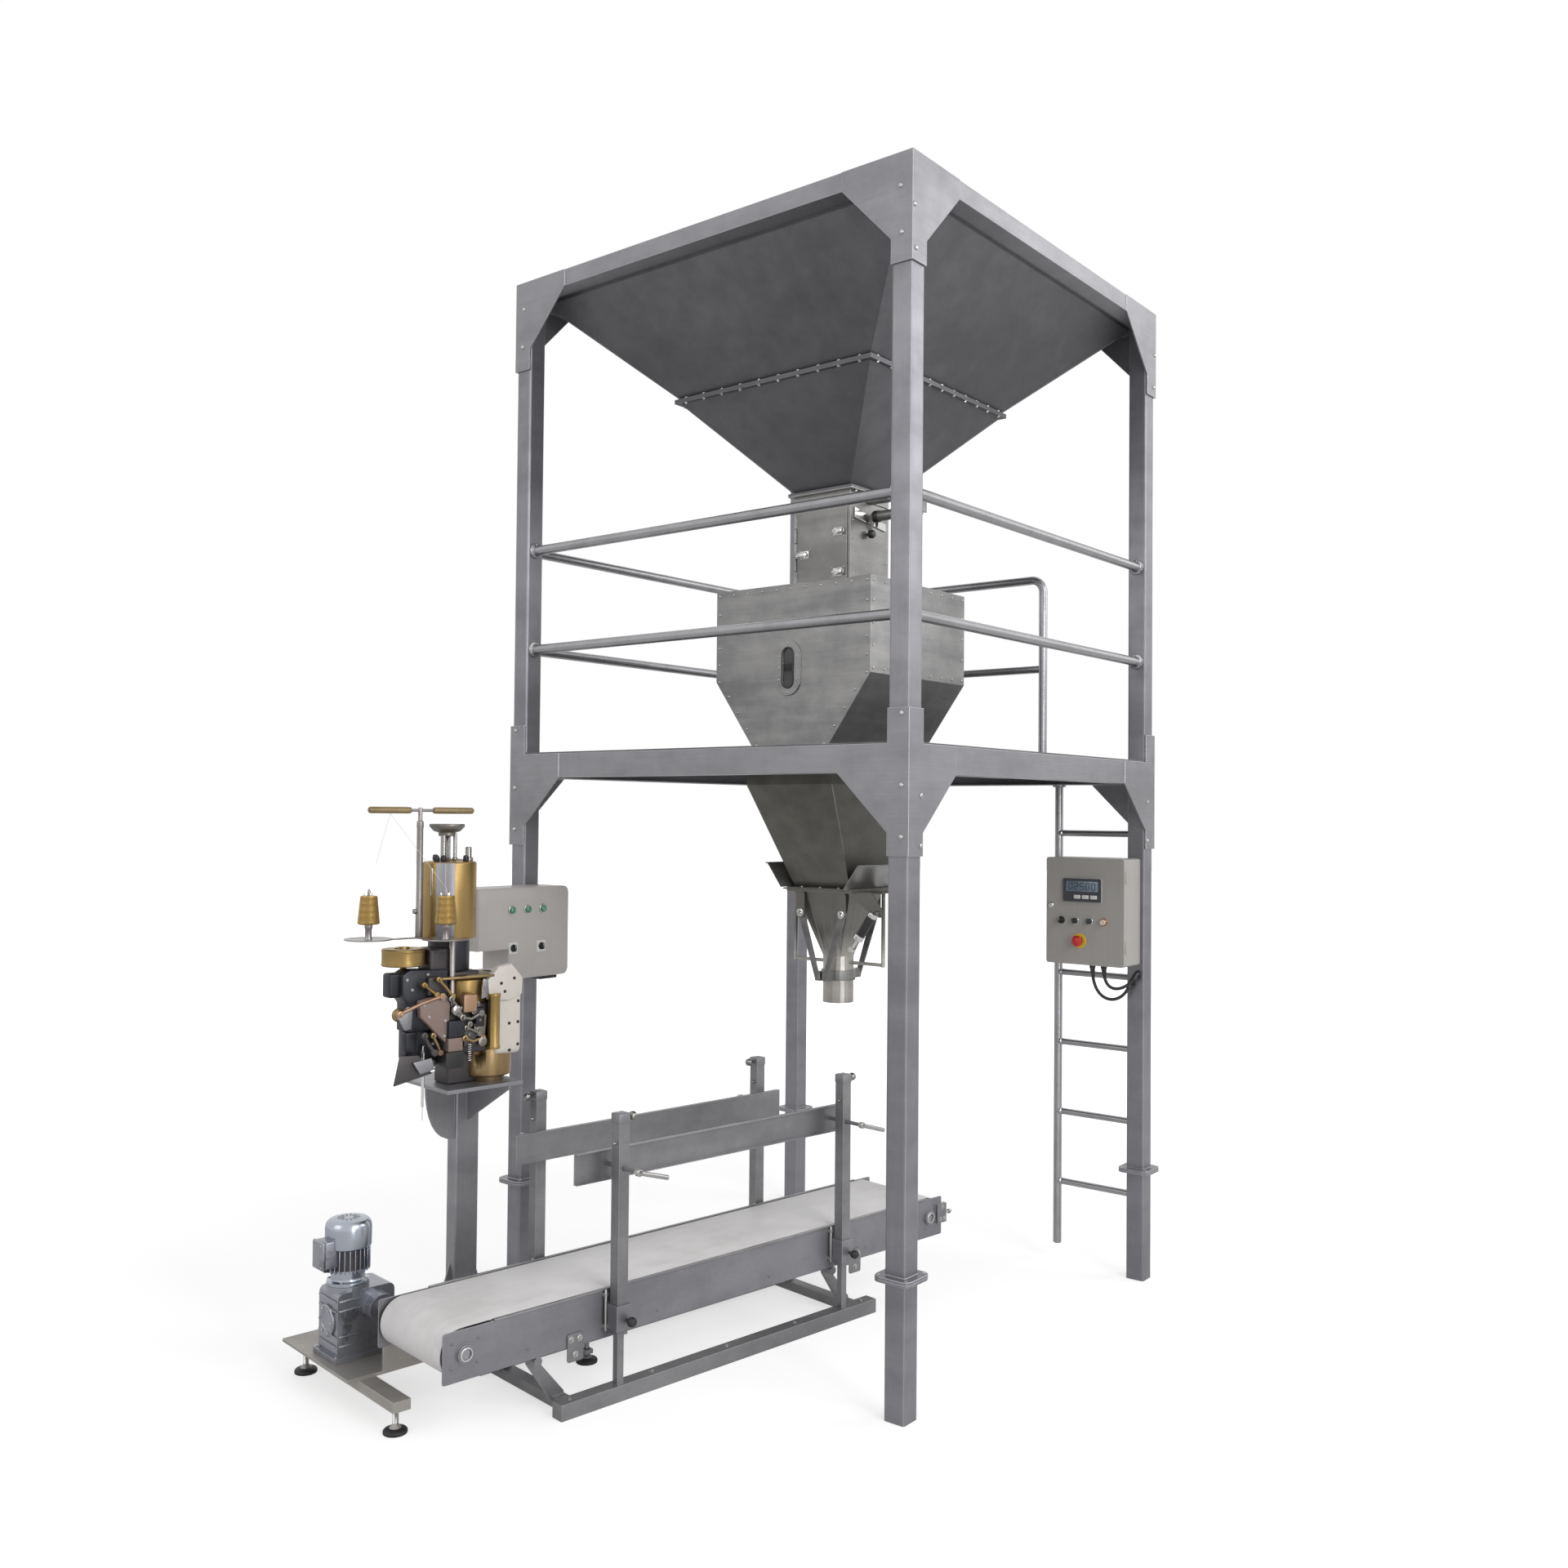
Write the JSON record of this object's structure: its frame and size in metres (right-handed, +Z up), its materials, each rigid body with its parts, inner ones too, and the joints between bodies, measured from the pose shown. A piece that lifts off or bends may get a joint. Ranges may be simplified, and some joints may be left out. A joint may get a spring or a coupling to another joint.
{
  "type": "bag filling and sewing machine",
  "caption": "Open-mouth bag filling station: a steel platform frame with supply hopper, weigh bucket and clamping spout above a skewed belt conveyor with a thread sewing head.",
  "frame": {"origin": "bottom centre of the bounds on the floor, cables left out", "axes": "+Z up; +X from the sewing end of the conveyor towards the ladder and control panel; -Y is the front"},
  "size_m": [2.8642, 1.897, 3.92],
  "materials": {
    "frame_steel": "satin ground steel",
    "deck_steel": "dull rolled sheet",
    "rail_steel": "polished tube",
    "hopper_steel": "brushed sheet",
    "spout_steel": "bright turned and folded steel",
    "sight_glass": "clear over a dark inside",
    "enclosure_paint": "beige-grey powder coat",
    "display_plastic": "moulded case with a lit screen",
    "red_plastic": "gloss red",
    "black_plastic": "matt black",
    "button_plastic": "gloss button caps",
    "cable_rubber": "black sheath",
    "line_steel": "folded sheet and square tube",
    "belt": "off-white coated belt",
    "roller_steel": "turned steel",
    "drive_aluminium": "cast and polished",
    "sewing_column": "grey paint",
    "sewing_head": "dark cast body",
    "sewing_brass": "brass-coloured turned parts",
    "needle_chrome": "polished",
    "stand_steel": "bright rod and disc",
    "thread": "wound thread"
  },
  "bodies": {
    "station": {"post_front_left": "frame_steel", "post_front_right": "frame_steel", "post_rear_left": "frame_steel", "post_rear_right": "frame_steel", "top_frame": "frame_steel", "platform_frame": "frame_steel", "platform_deck": "deck_steel", "handrail_left_upper": "rail_steel", "handrail_left_lower": "rail_steel", "handrail_front_upper": "rail_steel", "handrail_front_lower": "rail_steel", "handrail_rear_upper": "rail_steel", "handrail_rear_lower": "rail_steel", "gate_rail": "rail_steel", "ladder": "rail_steel", "hopper_upper": "hopper_steel", "hopper_lower": "hopper_steel", "feed_chute": "hopper_steel", "weigh_housing": "hopper_steel", "weigh_bucket": "hopper_steel", "discharge_hopper": "hopper_steel", "bag_spout": "spout_steel", "sight_glass": "sight_glass", "control_enclosure": "enclosure_paint", "sewing_control_box": "enclosure_paint", "control_cable_a": "cable_rubber", "control_cable_b": "cable_rubber", "conveyor_base": "line_steel", "conveyor_frame": "line_steel", "drive_base": "line_steel", "conveyor_belt": "belt", "drive_gearbox": "drive_aluminium", "drive_motor": "drive_aluminium", "sewing_column": "sewing_column", "sewing_head": "sewing_head", "sewing_motor": "sewing_brass", "thread_stand": "stand_steel", "thread_cone_a": "thread", "thread_cone_b": "thread"},
    "gate_blade": {"feed_gate": "hopper_steel"},
    "inspection_door": {"chute_door": "hopper_steel"},
    "flap": {"bucket_flap": "hopper_steel"},
    "jaw_left": {"clamp_jaw_left": "spout_steel"},
    "jaw_right": {"clamp_jaw_right": "spout_steel"},
    "clamp_ram": {"clamp_rod": "spout_steel"},
    "panel_door": {"control_door": "enclosure_paint", "display_unit": "display_plastic"},
    "estop": {"estop_button": "red_plastic"},
    "selector": {"selector_knob": "black_plastic"},
    "start": {"start_button": "button_plastic"},
    "stop": {"stop_button": "button_plastic"},
    "lamp": {"lamp_button": "button_plastic"},
    "drive_drum": {"drive_roller": "roller_steel"},
    "tail_drum": {"tail_roller": "roller_steel"},
    "front_guide": {"guide_rail_front": "line_steel"},
    "rear_guide": {"guide_rail_rear": "line_steel"},
    "pulley": {"sewing_pulley": "sewing_brass"},
    "needle": {"needle_bar": "needle_chrome"},
    "sew_selector_a": {"sewing_selector_a": "black_plastic"},
    "sew_selector_b": {"sewing_selector_b": "black_plastic"}
  },
  "joints": [
    {"name": "gate_slide", "type": "slide", "parent": "station", "child": "gate_blade", "axis": [0, -1, 0], "range_m": [0, 0.17]},
    {"name": "inspection_hinge", "type": "hinge", "parent": "station", "child": "inspection_door", "pos_m": [0.36978, 0.128, 2.905], "axis": [0, 0, -1], "range_deg": [0, 100]},
    {"name": "flap_hinge", "type": "hinge", "parent": "station", "child": "flap", "pos_m": [0.50608, 0.161, 2.24765], "axis": [1, 0, 0], "range_deg": [0, 60]},
    {"name": "jaw_left_hinge", "type": "hinge", "parent": "station", "child": "jaw_left", "pos_m": [0.50608, 0.1, 1.46995], "axis": [1, 0, 0], "range_deg": [0, 28]},
    {"name": "jaw_right_hinge", "type": "hinge", "parent": "station", "child": "jaw_right", "pos_m": [0.50608, -0.1, 1.46995], "axis": [-1, 0, 0], "range_deg": [0, 28]},
    {"name": "clamp_stroke", "type": "slide", "parent": "station", "child": "clamp_ram", "axis": [0, -0.5878, 0.809], "range_m": [0, 0.0345]},
    {"name": "panel_hinge", "type": "hinge", "parent": "station", "child": "panel_door", "pos_m": [1.19298, -0.9025, 1.47695], "axis": [0, 0, 1], "range_deg": [0, 110]},
    {"name": "estop_press", "type": "slide", "parent": "panel_door", "child": "estop", "axis": [1, 0, 0], "range_m": [0, 0.006]},
    {"name": "selector_turn", "type": "hinge", "parent": "panel_door", "child": "selector", "pos_m": [1.17698, -0.6305, 1.43795], "axis": [-1, 0, 0], "range_deg": [-45, 45]},
    {"name": "start_press", "type": "slide", "parent": "panel_door", "child": "start", "axis": [1, 0, 0], "range_m": [0, 0.004], "stiffness_N_per_m": 300},
    {"name": "stop_press", "type": "slide", "parent": "panel_door", "child": "stop", "axis": [1, 0, 0], "range_m": [0, 0.004], "stiffness_N_per_m": 300},
    {"name": "lamp_press", "type": "slide", "parent": "panel_door", "child": "lamp", "axis": [1, 0, 0], "range_m": [0, 0.004], "stiffness_N_per_m": 300},
    {"name": "drive_turn", "type": "hinge", "parent": "station", "child": "drive_drum", "pos_m": [-1.29126, 0.2001, 0.267], "axis": [0.1392, 0.9903, 0], "continuous": true},
    {"name": "tail_turn", "type": "hinge", "parent": "station", "child": "tail_drum", "pos_m": [0.76553, -0.08896, 0.267], "axis": [0.1392, 0.9903, 0], "continuous": true},
    {"name": "front_guide_slide", "type": "slide", "parent": "station", "child": "front_guide", "axis": [0.1392, 0.9903, 0], "range_m": [-0.03, 0.06]},
    {"name": "rear_guide_slide", "type": "slide", "parent": "station", "child": "rear_guide", "axis": [-0.1392, -0.9903, 0], "range_m": [-0.03, 0.06]},
    {"name": "pulley_turn", "type": "hinge", "parent": "station", "child": "pulley", "pos_m": [-1.19999, 0.49022, 1.384], "axis": [0, 0, 1], "continuous": true},
    {"name": "needle_stroke", "type": "slide", "parent": "station", "child": "needle", "axis": [0, 0, 1], "range_m": [-0.018, 0.018]},
    {"name": "sew_selector_a_turn", "type": "hinge", "parent": "station", "child": "sew_selector_a", "pos_m": [-0.56642, 0.6997, 1.35495], "axis": [0, -1, 0], "range_deg": [-45, 45]},
    {"name": "sew_selector_b_turn", "type": "hinge", "parent": "station", "child": "sew_selector_b", "pos_m": [-0.43142, 0.6997, 1.35495], "axis": [0, -1, 0], "range_deg": [-45, 45]}
  ],
  "couplings": [
    {"joint": "jaw_right_hinge", "follows": "jaw_left_hinge", "ratio": 1},
    {"joint": "clamp_stroke", "follows": "jaw_left_hinge", "m_per_rad": 0.07},
    {"joint": "tail_turn", "follows": "drive_turn", "ratio": 1}
  ]
}
